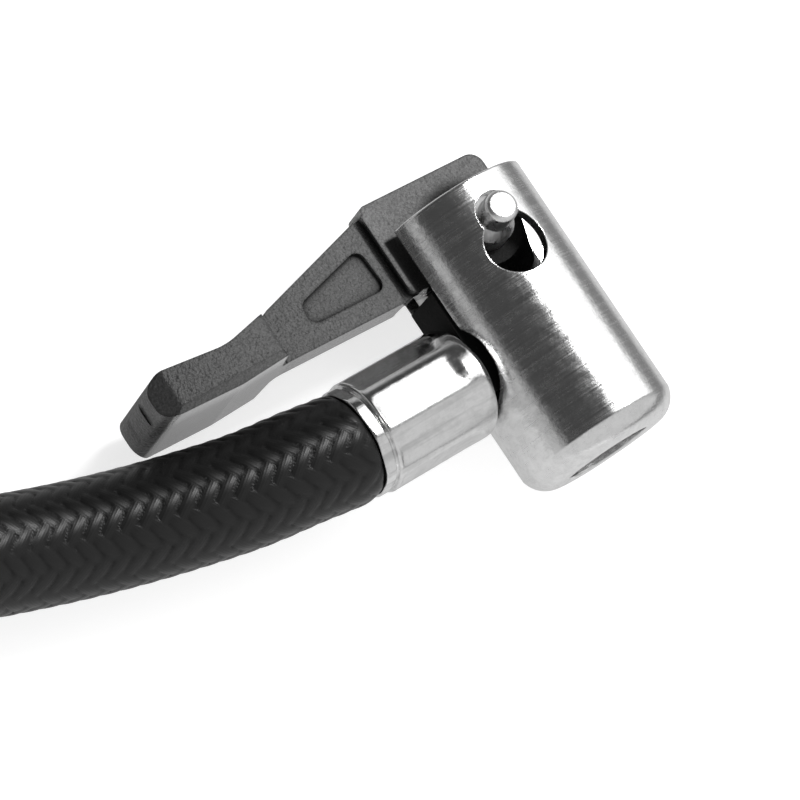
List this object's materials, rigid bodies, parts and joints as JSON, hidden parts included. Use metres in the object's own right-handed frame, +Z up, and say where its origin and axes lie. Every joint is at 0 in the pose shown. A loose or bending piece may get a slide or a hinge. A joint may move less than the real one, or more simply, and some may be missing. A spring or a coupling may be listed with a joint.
{
  "type": "tire inflator hose with clip-on valve chuck",
  "caption": "Clip-on valve chuck of a portable tire inflator: polished barrel, black cam lever on a stepped pin, crimped braided hose in a loose coil and a swivel nut end.",
  "frame": {"origin": "centre of the valve mouth, in the barrel's end face", "axes": "-Y out of the valve mouth along the barrel, -X along the hose as it leaves the barrel, +Z up along the lever's hinge pin, with the chuck lying on its side"},
  "size_m": [0.185, 0.1746, 0.0259],
  "materials": {
    "polished_chrome": "polished",
    "black_nylon": "fine moulded grain",
    "black_braid": "glossy braided yarn",
    "black_rubber": "matte",
    "bare_brass": "machined",
    "tie_webbing": "woven strap"
  },
  "bodies": {
    "chuck_core": {"plunger_core": "black_nylon", "valve_seal": "black_rubber", "seal_washer": "bare_brass", "depressor_pin": "bare_brass", "hose_stem": "polished_chrome", "stem_gasket": "black_rubber", "chuck_ferrule": "polished_chrome", "chuck_liner_end": "black_rubber", "chuck_braid_end": "black_braid", "hose_run": "black_braid", "hose_coil": "black_braid", "coil_tie": "tie_webbing", "far_liner_end": "black_rubber", "far_braid_end": "black_braid", "far_ferrule": "polished_chrome", "far_nipple": "polished_chrome", "nipple_gasket": "black_rubber"},
    "barrel": {"barrel_shell": "polished_chrome", "hinge_pin": "polished_chrome"},
    "lever": {"clip_lever": "black_nylon"},
    "nut": {"swivel_nut": "polished_chrome"}
  },
  "joints": [
    {"name": "barrel_slide", "type": "slide", "parent": "chuck_core", "child": "barrel", "axis": [0, -1, 0], "range_m": [0, 0.0011]},
    {"name": "lever_hinge", "type": "hinge", "parent": "barrel", "child": "lever", "pos_m": [0, 0.026, 0], "axis": [0, 0, -1], "range_deg": [0, 90]},
    {"name": "nut_swivel", "type": "hinge", "parent": "chuck_core", "child": "nut", "pos_m": [-0.15911, 0.15064, -0.00375], "axis": [0.3019, 0.9533, 0], "continuous": true}
  ],
  "couplings": [
    {"joint": "lever_hinge", "follows": "barrel_slide", "rad_per_m": 1427.9}
  ]
}
